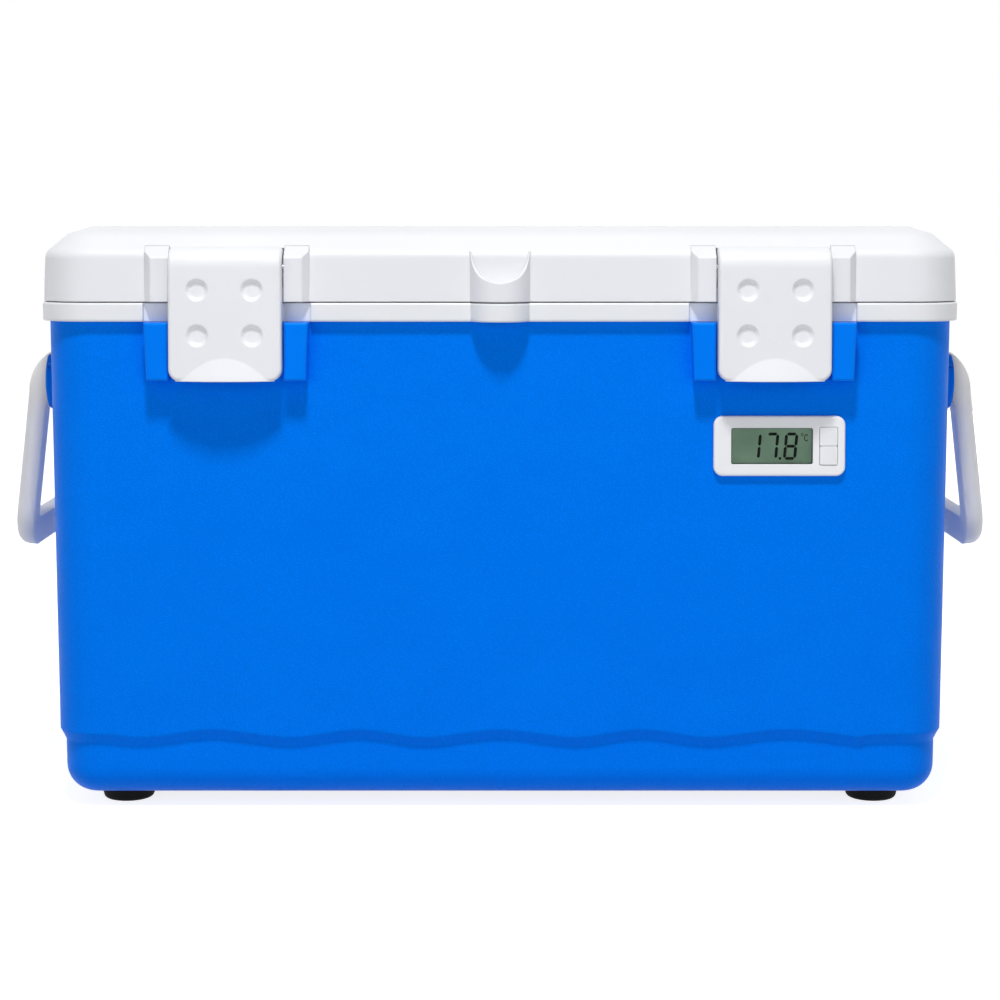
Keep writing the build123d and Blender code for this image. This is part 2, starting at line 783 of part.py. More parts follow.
latch = latch_form()
latch += lip_flare(0)
hollow = across(latch_outline(latch_plate, front + 30, 0), 0, latch_width - 2 * latch_flange)
latch -= hollow
latch -= lip_flare(latch_plate)
latch += rod((-latch_width / 2, latch_pin_y, latch_pin_z), (1, 0, 0), latch_hub_radius, latch_width)
hook_top = bead_bottom - hook_drop
plate_middle = front - latch_reach + latch_plate / 2
hook_profile = polygon(
    (plate_middle, hook_top),
    (front - hook_reach, hook_top),
    (front - hook_reach, hook_top - hook_nose),
    (plate_middle, hook_top - hook_root),
)
latch += across(hook_profile, 0, latch_width - latch_flange)
bore_start = (-latch_width, latch_pin_y, latch_pin_z)
latch -= rod(bore_start, (1, 0, 0), latch_pin_radius + pin_running, 2 * latch_width)
for x in (-dimple_spacing / 2, dimple_spacing / 2):
    for drop in dimple_drops:
        cone_plane = Plane(origin=(x, front - latch_reach, latch_pin_z - drop), z_dir=(0, 1, 0))
        cone_angle = degrees(atan((dimple_outer_radius - dimple_inner_radius) / dimple_depth))
        latch -= extrude(cone_plane * Circle(dimple_outer_radius), amount=dimple_depth, taper=cone_angle)


# Guards on both sides of the latch, and the keeper between them: a plate on the wall with a bead
guard_inner = latch_width / 2 + latch_side_gap + slide_gap
guard_peg_x = zone_half - ear_width / 2
guard_peg_z = (guard_low + guard_high) / 2


def guard_form():
    """The guard on the right of the latch, with its peg."""
    outline = polygon(
        (guard_inner, guard_high),
        (zone_half, guard_high),
        (zone_half - guard_taper, guard_low),
        (guard_inner, guard_low),
    )
    guard = extrude(Plane.XZ.offset(-front - latch_reach) * outline, amount=guard_reach + latch_reach)
    guard = fillet(guard.faces().sort_by(Axis.Y)[0].edges(), guard_round)
    guard -= body_block(pin_press, 0, lid_top)
    peg_start = (guard_peg_x, front, guard_peg_z)
    return guard + rod(peg_start, (0, 1, 0), peg_radius, body_front - front + peg_length)


def keeper_form():
    plate_front = body_front - keeper_plate
    half = guard_inner - seat_gap
    plate = span(-half, half, plate_front, front + latch_reach, guard_low, guard_high)
    bead_profile = polygon(
        (front + latch_reach, bead_bottom),
        (front - bead_reach, bead_bottom),
        (front - bead_reach, bead_bottom + bead_nose),
        (plate_front, bead_bottom + bead_height),
        (front + latch_reach, bead_bottom + bead_height),
    )
    keeper = plate + across(bead_profile, 0, 2 * bead_half_width)
    return keeper - body_block(pin_press, 0, lid_top)


guard = guard_form()
left_facing_guard = mirror(guard, Plane.YZ)
keeper = keeper_form()

for side, name in latch_sides:
    x = side * latch_centre
    nodes[name + "_latch"] = Pos(x, 0, 0) * latch
    nodes[name + "_keeper"] = Pos(x, 0, 0) * keeper
    pin_half = latch_width / 2 + latch_side_gap + latch_pin_tail
    pin_start = (x - pin_half, latch_pin_y, latch_pin_z)
    nodes[name + "_latch_pin"] = rod(pin_start, (1, 0, 0), latch_pin_radius, 2 * pin_half)
    lid_shell -= rod(pin_start, (1, 0, 0), latch_pin_radius + pin_press, 2 * pin_half)
    for toward, guard_name in ((side, "outer"), (-side, "inner")):
        this_guard = guard if toward > 0 else left_facing_guard
        nodes[name + "_" + guard_name + "_guard"] = Pos(x, 0, 0) * this_guard
        peg_x = x + toward * guard_peg_x
        peg_reach = body_front - front + peg_length + seat_gap
        peg_hole = rod((peg_x, front, guard_peg_z), (0, 1, 0), peg_radius + seat_gap, peg_reach)
        skin -= peg_hole
        foam -= peg_hole


# Hinges: two leaves that interleave round a pin
def hinge_rod(x, radius, length):
    """Round bar on the hinge axis, centred on x."""
    return rod((x - length / 2, hinge_axis_y, hinge_axis_z), (1, 0, 0), radius, length)


def knuckles(x, inner):
    """Barrel pieces round the hinge axis: the middle one, or the two at the ends."""
    middle = hinge_centre_knuckle / 2
    barrel = hinge_rod(x, hinge_knuckle_radius, hinge_width)
    if inner:
        limit = middle - hinge_knuckle_gap / 2
        return barrel & span(x - limit, x + limit, back, body_depth, 0, lid_top)
    limit = middle + hinge_knuckle_gap / 2
    return barrel - span(x - limit, x + limit, back, body_depth, 0, lid_top)


def swing_room(x, inner):
    """Space that the other leaf's barrel pieces need."""
    middle = hinge_centre_knuckle / 2 + hinge_knuckle_gap / 2
    room = hinge_rod(x, hinge_knuckle_radius + hinge_swing_gap, hinge_width + 2)
    if inner:
        return room & span(x - middle, x + middle, 0, body_depth, 0, lid_top)
    limit = middle - hinge_knuckle_gap
    return room - span(x - limit, x + limit, 0, body_depth, 0, lid_top)


def wood_screw(start, direction):
    """Countersunk screw with a crossed slot; the head's face is at start."""
    return screw_room(start, direction, 0) - Plane(origin=start, z_dir=direction) * cross_slot()


def cross_slot():
    bar = Box(cross_length, cross_width, 2 * cross_depth)
    return bar + Rot(0, 0, 90) * bar


def screw_room(start, direction, grow):
    """The screw's outside, moved out by grow."""
    plane = Plane(origin=start, z_dir=direction)
    cone_angle = degrees(atan((screw_head_radius - screw_shank_radius) / screw_head_height))
    head = extrude(plane * Circle(screw_head_radius + grow), amount=screw_head_height, taper=cone_angle)
    return head + rod(start, direction, screw_shank_radius + grow, screw_length + grow)


lid_plate_out = back + hinge_plate
body_plate_out = back + hinge_body_plate
cover_y = hinge_axis_y + hinge_knuckle_radius - hinge_cover_drop
rim_back = rim_depth / 2 + slide_gap
wall_y = body_depth / 2 - body_skin
body_leaf_face = polygon(
    (wall_y, hinge_body_plate_bottom),
    (body_plate_out - 2 * hinge_chamfer, hinge_body_plate_bottom),
    (body_plate_out, hinge_body_plate_bottom + 2 * hinge_chamfer),
    (body_plate_out, rim_bottom),
    (cover_y, hinge_axis_z - hinge_cover_half),
    (hinge_axis_y, hinge_axis_z),
    (rim_back, hinge_axis_z - seam_gap),
    (rim_back, rim_bottom - slide_gap),
    (wall_y, rim_bottom - slide_gap),
)
lid_leaf_face = polygon(
    (wall_y, hinge_lid_plate_top),
    (lid_plate_out - hinge_chamfer, hinge_lid_plate_top),
    (lid_plate_out, hinge_lid_plate_top - hinge_chamfer),
    (lid_plate_out, lid_bottom + hinge_lid_step),
    (cover_y, hinge_axis_z + hinge_cover_half),
    (hinge_axis_y, hinge_axis_z),
    (back + hinge_swing_gap, lid_bottom + slide_gap),
    (wall_y, lid_bottom + slide_gap),
)
body_screw_z = (hinge_body_plate_bottom + rim_bottom) / 2
lid_screw_z = (lid_bottom + hinge_lid_step + hinge_lid_plate_top) / 2

for side, name in latch_sides:
    x = side * latch_centre
    body_leaf = across(body_leaf_face, x, hinge_width) - swing_room(x, True) + knuckles(x, False)
    body_leaf -= body_block(pin_press, 0, rim_bottom)
    body_leaf -= hinge_rod(x, hinge_pin_radius + pin_press, 2 * hinge_width)
    lid_leaf = across(lid_leaf_face, x, hinge_width) - swing_room(x, False)
    lid_leaf -= lid_block(pin_press, lid_bottom)
    lid_leaf += knuckles(x, True)
    lid_leaf -= hinge_rod(x, hinge_pin_radius + pin_running, 2 * hinge_width)
    nodes[name + "_hinge_pin"] = hinge_rod(x, hinge_pin_radius, hinge_width)

    for toward, screw_name in ((side, "outer"), (-side, "inner")):
        screw_x = x + toward * hinge_screw_spacing / 2
        low_start = (screw_x, body_plate_out, body_screw_z)
        high_start = (screw_x, lid_plate_out, lid_screw_z)
        inward = (0, -1, 0)
        nodes[name + "_body_screw_" + screw_name] = wood_screw(low_start, inward)
        nodes[name + "_lid_screw_" + screw_name] = wood_screw(high_start, inward)
        low_room = screw_room(low_start, inward, seat_gap)
        high_room = screw_room(high_start, inward, seat_gap)
        body_leaf -= low_room
        skin -= low_room
        foam -= low_room
        lid_leaf -= high_room
        lid_shell -= high_room
        lid_foam -= high_room
    nodes[name + "_hinge_body_leaf"] = body_leaf
    nodes[name + "_hinge_lid_leaf"] = lid_leaf

# Feet and their screws
foot_angle = degrees(atan(foot_taper / foot_height))
foot_top = Pos(0, 0, foot_height) * Rot(180, 0, 0)
foot = extrude(foot_top * Circle(foot_radius), amount=foot_height, taper=foot_angle)
foot = fillet(foot.faces().sort_by(Axis.Z)[0].edges(), foot_round)
foot -= extrude(Circle(foot_screw_head_radius + foot_counterbore_gap), amount=foot_counterbore_depth)
foot -= extrude(Circle(screw_shank_radius + seat_gap), amount=foot_height)
head_low = foot_counterbore_depth - foot_screw_head_height
foot_screw = extrude(Pos(0, 0, head_low) * Circle(foot_screw_head_radius), amount=foot_screw_head_height)
foot_screw = fillet(foot_screw.faces().sort_by(Axis.Z)[0].edges(), foot_screw_round)
foot_screw += extrude(Pos(0, 0, head_low + 1) * Circle(screw_shank_radius), amount=screw_length)
foot_screw -= Pos(0, 0, head_low) * cross_slot()
foot_room = rod((0, 0, foot_counterbore_depth), (0, 0, 1), screw_shank_radius + seat_gap, screw_length)
for side, name in latch_sides:
    for row, row_name in handle_rows:
        place = Pos(side * foot_x, row * foot_y, 0)
        nodes[row_name + "_" + name + "_foot"] = place * foot
        nodes[row_name + "_" + name + "_foot_screw"] = place * foot_screw
        skin -= place * foot_room
        foam -= place * foot_room

# Thermometer in the front wall
bezel_back = -body_half_depth(meter_z - bezel_height / 2) + bezel_sunk
bezel_front = bezel_back - bezel_thickness
window_x = meter_x + window_offset
button_x = meter_x + button_offset


def panel_slab(x, width, height, corner, y_low, y_high, grow=0):
    """Upright slab with round corners between two depths, its outline moved out by grow."""
    plane = Plane(origin=(x, y_low, meter_z), x_dir=(-1, 0, 0), z_dir=(0, 1, 0))
    outline = RectangleRounded(width + 2 * grow, height + 2 * grow, corner + grow)
    return extrude(plane * outline, amount=y_high - y_low)


def window_slab(y_low, y_high, grow=0):
    return panel_slab(window_x, window_width, window_height, window_corner, y_low, y_high, grow)


def case_slab(y_low, y_high, grow=0):
    return panel_slab(meter_x, case_width, case_height, case_corner, y_low, y_high, grow)


def button_pair_slab(margin, corner, y_low):
    """Room for both buttons with a margin, from y_low through the bezel's back."""
    width = button_width + 2 * margin
    height = buttons_height + 2 * margin
    return panel_slab(button_x, width, height, corner, y_low, bezel_back + 1, slide_gap)


buttons_height = 2 * button_height + slide_gap
plate_front = bezel_front + button_seat_depth
window_back = bezel_front + window_recess + window_thickness
lcd_front = window_back + seat_gap / 2
lcd_back = lcd_front + lcd_thickness
bezel = panel_slab(meter_x, bezel_width, bezel_height, bezel_corner, bezel_front, bezel_back)
bezel = fillet(bezel.faces().sort_by(Axis.Y)[0].edges(), bezel_round)
bezel_seat = panel_slab(meter_x, bezel_width, bezel_height, bezel_corner, bezel_front, bezel_back, seat_gap)
bezel -= window_slab(bezel_front - 1, bezel_back + 1, window_gap)
bezel -= window_slab(window_back, bezel_back + 1, lcd_margin + window_gap)
bezel -= button_pair_slab(0, button_corner, bezel_front - 1)
bezel -= button_pair_slab(button_flange, slide_gap, plate_front)

case_back = bezel_back + case_depth
case = case_slab(bezel_back, case_back) - case_slab(bezel_back - 1, case_back - case_wall, -case_wall)
case_room = case_slab(bezel_front, case_back + seat_gap, seat_gap)
skin -= bezel_seat
skin -= case_room
foam -= case_room

window = window_slab(bezel_front + window_recess, window_back)
lcd = window_slab(lcd_front, lcd_back, lcd_margin)
board_front = lcd_back + pin_press
board_back = board_front + board_thickness
board = case_slab(board_front, board_back, -case_wall - slide_gap)
switch_front = plate_front + slide_gap + button_plate + button_travel + seat_gap
for side, name in ((1, "upper"), (-1, "lower")):
    middle_z = meter_z + side * (button_height + slide_gap) / 2
    low_z = middle_z - button_height / 2
    high_z = middle_z + button_height / 2
    half = button_width / 2
    cap_back = plate_front + slide_gap
    cap_front = bezel_front - button_proud
    cap = span(button_x - half, button_x + half, cap_front, cap_back, low_z, high_z)
    cap = fillet(cap.edges().filter_by(Axis.Y), button_corner)
    cap = fillet(cap.faces().sort_by(Axis.Y)[0].edges(), button_round)
    if side > 0:
        high_z += button_flange
    else:
        low_z -= button_flange
    half += button_flange
    cap += span(button_x - half, button_x + half, cap_back, cap_back + button_plate, low_z, high_z)
    nodes[name + "_button"] = cap
    board += rod((button_x, switch_front, middle_z), (0, 1, 0), switch_radius, board_back - switch_front)
battery_x = meter_x - lead_offset
battery_start = (battery_x, board_back + seat_gap, meter_z)
battery = rod(battery_start, (0, 1, 0), battery_radius, battery_thickness)

lead_x = meter_x + lead_offset
lead_start = (lead_x, board_back + seat_gap, meter_z)
liner_outer_y = -(opening_depth / 2 + liner_wall - liner_slope * (rim_top - meter_z))
liner_inner_y = liner_outer_y + liner_wall
probe_back = liner_outer_y - liner_wall
lead_length = probe_back - board_back - seat_gap
lead = rod(lead_start, (0, 1, 0), lead_radius, lead_length)
lead_room = rod(lead_start, (0, 1, 0), lead_radius + seat_gap, lead_length)
probe_start = (lead_x, probe_back, meter_z)
stem_length = liner_inner_y + 1 - probe_back
probe_room = rod(probe_start, (0, 1, 0), probe_stem_radius + seat_gap, stem_length)
probe_disc = rod((lead_x, liner_inner_y - 1, meter_z), (0, 1, 0), probe_radius, 1 + probe_proud)
probe_disc = fillet(probe_disc.faces().sort_by(Axis.Y)[-1].edges(), probe_round)
probe_disc = probe_disc & liner_block(-pin_press, tub_floor)
probe = probe_disc + rod(probe_start, (0, 1, 0), probe_stem_radius, stem_length)
case -= lead_room
foam -= lead_room
foam -= probe_room
liner -= probe_room

nodes["thermometer_bezel"] = bezel
nodes["thermometer_case"] = case
nodes["display_window"] = window
nodes["lcd_panel"] = lcd
nodes["circuit_board"] = board
nodes["battery"] = battery
nodes["sensor_lead"] = lead
nodes["sensor_probe"] = probe

nodes["outer_shell"] = skin
nodes["body_foam"] = foam
nodes["inner_liner"] = liner
nodes["lid_shell"] = lid_shell
nodes["lid_foam"] = lid_foam
nodes["lid_panel"] = panel
nodes["lid_gasket"] = gasket

if __name__ == "__main__":
    os.makedirs("parts", exist_ok=True)
    for node_name, node in nodes.items():
        export_step(Pos(0, centre_shift, 0) * node, "parts/" + node_name + ".step")
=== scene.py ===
import bpy
import bmesh
import math
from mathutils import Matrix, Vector


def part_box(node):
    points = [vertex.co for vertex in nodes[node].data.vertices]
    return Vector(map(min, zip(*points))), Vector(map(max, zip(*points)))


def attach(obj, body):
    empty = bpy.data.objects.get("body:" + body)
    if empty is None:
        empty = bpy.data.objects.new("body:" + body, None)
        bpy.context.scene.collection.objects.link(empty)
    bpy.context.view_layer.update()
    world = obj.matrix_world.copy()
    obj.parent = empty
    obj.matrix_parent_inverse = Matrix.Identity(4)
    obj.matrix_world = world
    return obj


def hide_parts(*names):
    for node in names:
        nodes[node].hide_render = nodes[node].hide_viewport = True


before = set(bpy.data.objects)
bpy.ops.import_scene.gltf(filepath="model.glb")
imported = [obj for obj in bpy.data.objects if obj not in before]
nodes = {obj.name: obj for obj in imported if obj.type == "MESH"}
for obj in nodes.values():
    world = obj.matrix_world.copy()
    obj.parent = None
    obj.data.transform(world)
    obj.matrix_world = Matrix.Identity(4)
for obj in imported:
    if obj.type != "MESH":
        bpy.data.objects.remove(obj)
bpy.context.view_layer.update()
scene = bpy.context.scene

# The lid's front wall, which the centre tab stands out from
tab_reach = 0.013
lid_low, lid_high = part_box("lid_shell")
lid_front = lid_low.y + tab_reach

# Camera at the photograph's angle
camera_distance = 1.334
camera_below_lid_top = 0.002
camera_pitch = 3.0
camera_lens = 82.7
camera_sensor = 36
camera_shift = -0.15
camera_clip_start = 0.05
camera_clip_end = 50
camera_height = lid_high.z - camera_below_lid_top

camera_data = bpy.data.cameras.new("camera")
camera = bpy.data.objects.new("camera", camera_data)
scene.collection.objects.link(camera)
camera.location = (0, lid_front - camera_distance, camera_height)
camera.rotation_euler = (math.radians(90 - camera_pitch), 0, 0)
camera_data.lens = camera_lens
camera_data.sensor_width = camera_sensor
camera_data.shift_y = camera_shift
camera_data.clip_start = camera_clip_start
camera_data.clip_end = camera_clip_end
scene.camera = camera
scene.view_settings.view_transform = "Standard"


# Materials
noise_low = 0.25
noise_high = 0.75
bevel_samples = 6


class Painter:
    """A material's node tree with short calls for its nodes and links."""

    def __init__(self, name):
        self.material = bpy.data.materials.new(name)
        self.material.use_nodes = True
        self.tree = self.material.node_tree
        self.shader = self.tree.nodes["Principled BSDF"]
        self.place = self.add("ShaderNodeTexCoord").outputs["Object"]

    def add(self, kind, **values):
        node = self.tree.nodes.new(kind)
        for key, value in values.items():
            setattr(node, key, value)
        return node

    def link(self, source, target):
        self.tree.links.new(source, target)

    def noise(self, scale, detail=3.0, roughness=0.5):
        node = self.add("ShaderNodeTexNoise")
        node.inputs["Scale"].default_value = scale
        node.inputs["Detail"].default_value = detail
        node.inputs["Roughness"].default_value = roughness
        self.link(self.place, node.inputs["Vector"])
        return node.outputs["Fac"]

    def cells(self, scale, feature="F1"):
        node = self.add("ShaderNodeTexVoronoi", feature=feature)
        node.inputs["Scale"].default_value = scale
        self.link(self.place, node.inputs["Vector"])
        return node.outputs["Distance"]

    def ramp(self, source, stops):
        node = self.add("ShaderNodeValToRGB")
        ramp = node.color_ramp
        while len(ramp.elements) < len(stops):
            ramp.elements.new(0.5)
        for element, (position, colour) in zip(ramp.elements, stops):
            element.position = position
            element.color = (*colour, 1.0)
        self.link(source, node.inputs["Fac"])
        return node.outputs["Color"]

    def spread(self, source, low, high):
        node = self.add("ShaderNodeMapRange")
        node.inputs["From Min"].default_value = noise_low
        node.inputs["From Max"].default_value = noise_high
        node.inputs["To Min"].default_value = low
        node.inputs["To Max"].default_value = high
        self.link(source, node.inputs["Value"])
        return node.outputs["Result"]

    def math(self, operation, first, second):
        node = self.add("ShaderNodeMath", operation=operation)
        for socket, value in zip(node.inputs, (first, second)):
            if isinstance(value, (int, float)):
                socket.default_value = value
            else:
                self.link(value, socket)
        return node.outputs["Value"]

    def bump(self, height, depth, strength, under=None):
        node = self.add("ShaderNodeBump")
        node.inputs["Distance"].default_value = depth
        node.inputs["Strength"].default_value = strength
        self.link(height, node.inputs["Height"])
        if under is not None:
            self.link(under, node.inputs["Normal"])
        return node.outputs["Normal"]

    def soft_edges(self, radius):
        node = self.add("ShaderNodeBevel", samples=bevel_samples)
        node.inputs["Radius"].default_value = radius
        return node.outputs["Normal"]

    def stretch(self, scale):
        node = self.add("ShaderNodeMapping")
        node.inputs["Scale"].default_value = scale
        self.link(self.place, node.inputs["Vector"])
        return node.outputs["Vector"]

    def finish(self, colour=None, rough=None, normal=None, **numbers):
        if colour is not None:
            self.link(colour, self.shader.inputs["Base Color"])
        if rough is not None:
            self.link(rough, self.shader.inputs["Roughness"])
        if normal is not None:
            self.link(normal, self.shader.inputs["Normal"])
        for key, value in numbers.items():
            self.shader.inputs[key.replace("_", " ")].default_value = value
        return self.material


def linear(red, green, blue):
    """Colour given as it looks on screen, 0 to 255, as the shader's linear values."""
    values = []
    for value in (red, green, blue):
        value /= 255
        values.append(value / 12.92 if value <= 0.04045 else ((value + 0.055) / 1.055) ** 2.4)
    return tuple(values)


def leather_grain(name, dark, light, gloss_tint, cell=0.0012, depth=0.0002):
    """Moulded plastic with a fine leather grain: creases that run mostly level, their colour darkened
    as painted shade.
    """
    paint = Painter(name)
    level = paint.stretch((0.5, 0.5, 1.0))
    drift = paint.add("ShaderNodeTexNoise")
    drift.inputs["Scale"].default_value = 0.45 / cell
    paint.link(level, drift.inputs["Vector"])
    warp = paint.add("ShaderNodeVectorMath", operation="MULTIPLY_ADD")
    warp.inputs[1].default_value = (cell * 1.2,) * 3
    paint.link(drift.outputs["Color"], warp.inputs[0])
    paint.link(level, warp.inputs[2])
    paint.place = warp.outputs["Vector"]
    pebbles = paint.math("MINIMUM", paint.cells(1 / cell, "DISTANCE_TO_EDGE"), 0.3)
    broad = paint.noise(38.0, 4.0, 0.55)
    fine = paint.noise(2.2 / cell, 2.0)
    # Colour is darker near the cell edges, the creases: painted crease shade; the broad noise adds
    # random tone
    tone = paint.math("ADD", paint.math("MULTIPLY", pebbles, 1.6), paint.math("MULTIPLY", broad, 0.5))
    colour = paint.ramp(tone, ((0.3, dark), (0.75, light)))
    rough = paint.spread(broad, 0.42, 0.56)
    creased = paint.bump(pebbles, depth, 0.8, paint.soft_edges(0.0028))
    normal = paint.bump(fine, depth * 0.3, 0.5, creased)
    return paint.finish(colour, rough, normal, Specular_IOR_Level=0.15, Specular_Tint=gloss_tint)


def moulded(name, dark, light, rough_low, rough_high,
            grain=0.0009, depth=0.00004, edge=0.0012, **numbers):
    """Smooth moulded plastic: faint mottling, flow marks and a fine orange peel."""
    paint = Painter(name)
    broad = paint.noise(9.0, 2.0, 0.4)
    peel = paint.noise(1 / grain, 2.0)
    waves = paint.noise(45.0, 2.0)
    colour = paint.ramp(broad, ((noise_low, dark), (noise_high, light)))
    rough = paint.spread(paint.noise(420.0, 4.0, 0.6), rough_low, rough_high)
    under = paint.bump(waves, 0.0003, 0.08, paint.soft_edges(edge))
    normal = paint.bump(peel, depth, 0.6, under)
    return paint.finish(colour, rough, normal, **numbers)


def rubber(name, dark, light, rough=0.75, **numbers):
    """Matte rubber with dust-like speckle and a pitted surface."""
    paint = Painter(name)
    speckle = paint.noise(900.0, 4.0, 0.7)
    colour = paint.ramp(speckle, ((0.4, dark), (0.7, light)))
    normal = paint.bump(paint.cells(1600.0), 0.0001, 0.5)
    return paint.finish(colour, paint.spread(speckle, rough - 0.08, rough + 0.1), normal, **numbers)


def brushed(name, dark, light, axis):
    """Drawn or turned steel: fine streaks along one axis."""
    paint = Painter(name)
    scale = [1800.0, 1800.0, 1800.0]
    scale[axis] = 60.0
    streak = paint.add("ShaderNodeTexNoise")
    streak.inputs["Scale"].default_value = 1.0
    streak.inputs["Detail"].default_value = 3.0
    paint.link(paint.stretch(scale), streak.inputs["Vector"])
    colour = paint.ramp(streak.outputs["Fac"], ((0.3, dark), (0.7, light)))
    rough = paint.spread(streak.outputs["Fac"], 0.24, 0.42)
    normal = paint.bump(streak.outputs["Fac"], 0.00002, 0.4)
    return paint.finish(colour, rough, normal, Metallic=1.0)


def foam(name):
    """Rigid cellular foam."""
    paint = Painter(name)
    cells = paint.cells(520.0)
    tone = paint.noise(30.0, 3.0)
    colour = paint.ramp(tone, ((0.3, linear(226, 206, 150)), (0.7, linear(240, 226, 180))))
    normal = paint.bump(cells, 0.0006, 0.8, paint.bump(tone, 0.001, 0.3))
    return paint.finish(colour, paint.spread(tone, 0.8, 0.95), normal)


def clear_window(name):
    """Thin clear plastic with faint smears."""
    paint = Painter(name)
    smears = paint.noise(90.0, 4.0, 0.7)
    tint = paint.ramp(smears, ((0.3, (0.93, 0.97, 0.94)), (0.7, (0.98, 1.0, 0.98))))
    rough = paint.spread(smears, 0.02, 0.07)
    return paint.finish(tint, rough, None, Transmission_Weight=1.0, IOR=1.02, Specular_IOR_Level=0.1)


def display_glass(name):
    """Reflective grey-green panel with a faint row pattern."""
    paint = Painter(name)
    tone = paint.noise(60.0, 2.0)
    rows = paint.add("ShaderNodeTexWave", wave_type="BANDS", bands_direction="Z")
    rows.inputs["Scale"].default_value = 500.0
    paint.link(paint.place, rows.inputs["Vector"])
    broad = paint.math("MULTIPLY", tone, 0.85)
    fine = paint.math("MULTIPLY", rows.outputs["Fac"], 0.15)
    mixed = paint.math("ADD", broad, fine)
    colour = paint.ramp(mixed, ((0.3, linear(82, 102, 88)), (0.75, linear(96, 116, 101))))
    normal = paint.bump(tone, 0.00005, 0.3)
    return paint.finish(colour, paint.spread(tone, 0.3, 0.4), normal, Specular_IOR_Level=0.1)


def board_green(name):
    """Circuit board with a solder mask and pale tracks."""
    paint = Painter(name)
    tracks = paint.cells(260.0, "DISTANCE_TO_EDGE")
    colour = paint.ramp(tracks, ((0.03, linear(60, 150, 90)), (0.08, linear(12, 84, 40))))
    normal = paint.bump(tracks, 0.00005, 0.4)
    return paint.finish(colour, paint.spread(paint.noise(200.0), 0.25, 0.4), normal)


white_dark = linear(228, 229, 233)
white_light = linear(233, 234, 238)
blue_gloss = (0.04, 0.4, 1.0, 1.0)
finishes = {
    "grained_blue": leather_grain("grained_blue", linear(0, 116, 238), linear(0, 124, 248),
                                  blue_gloss),
    "smooth_blue": moulded("smooth_blue", linear(0, 118, 240), linear(0, 124, 248), 0.28, 0.4,
                           Specular_IOR_Level=0.4, Specular_Tint=blue_gloss),
    "lid_white": moulded("lid_white", white_dark, white_light, 0.38, 0.5, 0.0012, 0.00006),
    "latch_white": moulded("latch_white", linear(231, 232, 236), linear(236, 237, 241), 0.26, 0.38),
    # The handle's white is tinted warm to offset the blue light the body bounces onto it: a painted
    # correction for reflected light
    "handle_white": moulded("handle_white", linear(220, 217, 213), linear(228, 225, 221), 0.36, 0.5,
                            Subsurface_Weight=1.0, Subsurface_Radius=(1, 1, 1), Subsurface_Scale=0.035),
    "liner_white": moulded("liner_white", linear(229, 231, 234), linear(233, 235, 238), 0.34, 0.44),
    # The bezel's white is paler than the other whites to offset the shade it sits in: painted light
    "bezel_white": moulded("bezel_white", linear(236, 237, 240), linear(241, 242, 244), 0.28, 0.4,
                           edge=0.0008),
    "button_white": moulded("button_white", linear(228, 230, 232), linear(236, 238, 240), 0.35, 0.45,
                            edge=0.0003),
    "rigid_foam": foam("rigid_foam"),
    "grey_rubber": rubber("grey_rubber", linear(120, 124, 130), linear(150, 154, 160)),
    "black_rubber": rubber("black_rubber", linear(12, 12, 13), linear(30, 30, 32),
                           Specular_IOR_Level=0.15),
    "lead_rubber": rubber("lead_rubber", linear(24, 24, 25), linear(48, 48, 50), 0.6),
    "pin_steel": brushed("pin_steel", linear(150, 152, 156), linear(205, 207, 210), 0),
    "screw_steel": brushed("screw_steel", linear(150, 152, 156), linear(210, 212, 215), 2),
    "battery_steel": brushed("battery_steel", linear(170, 172, 174), linear(220, 221, 223), 2),
    "clear_window": clear_window("clear_window"),
    "display": display_glass("display"),
    "board": board_green("board"),
    "dark_plastic": moulded("dark_plastic", linear(26, 27, 29), linear(42, 43, 46), 0.5, 0.65),
}

# First word that a node's name holds, and its finish
finish_words = (
    ("screw", "screw_steel"),
    ("foot", "black_rubber"),
    ("handle_pin", "pin_steel"),
    ("latch_pin", "pin_steel"),
    ("hinge_pin", "pin_steel"),
    ("hinge", "lid_white"),
    ("keeper", "smooth_blue"),
    ("guard", "smooth_blue"),
    ("handle", "handle_white"),
    ("latch", "latch_white"),
    ("button", "button_white"),
    ("foam", "rigid_foam"),
    ("gasket", "grey_rubber"),
    ("outer_shell", "grained_blue"),
    ("inner_liner", "liner_white"),
    ("lid_panel", "liner_white"),
    ("lid_shell", "lid_white"),
    ("bezel", "bezel_white"),
    ("case", "dark_plastic"),
    ("window", "clear_window"),
    ("lcd", "display"),
    ("circuit_board", "board"),
    ("battery", "battery_steel"),
    ("lead", "lead_rubber"),
    ("probe", "screw_steel"),
)


def finish_of(node_name):
    for word, finish in finish_words:
        if word in node_name:
            return finishes[finish]
    raise ValueError("no finish for " + node_name)


for node_name, node in nodes.items():
    node.data.materials.clear()
    node.data.materials.append(finish_of(node_name))


def new_piece(name, build, finish, body):
    """Object from a bmesh that build fills; it rides on a body and takes a material slot."""
    mesh = bpy.data.meshes.new(name)
    work = bmesh.new()
    build(work)
    bmesh.ops.recalc_face_normals(work, faces=work.faces)
    work.to_mesh(mesh)
    work.free()
    mesh.materials.append(finish)
    piece = bpy.data.objects.new(name, mesh)
    scene.collection.objects.link(piece)
    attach(piece, body)
    return piece


# Thumb recess in the lid's centre tab: flat at the back, level with the bevel above
recess_low_rise = 0.0109
recess_high_rise = 0.0303
recess_half_width = 0.0166
recess_wall_inset = 0.00095
recess_reach = 0.03
recess_top_rise = 0.0363
recess_steps = 40
tip_rise = 0.0292
tip_slope = 0.0003
tip_half_width = 0.0185
tip_steps = 4
skin = 0.00003

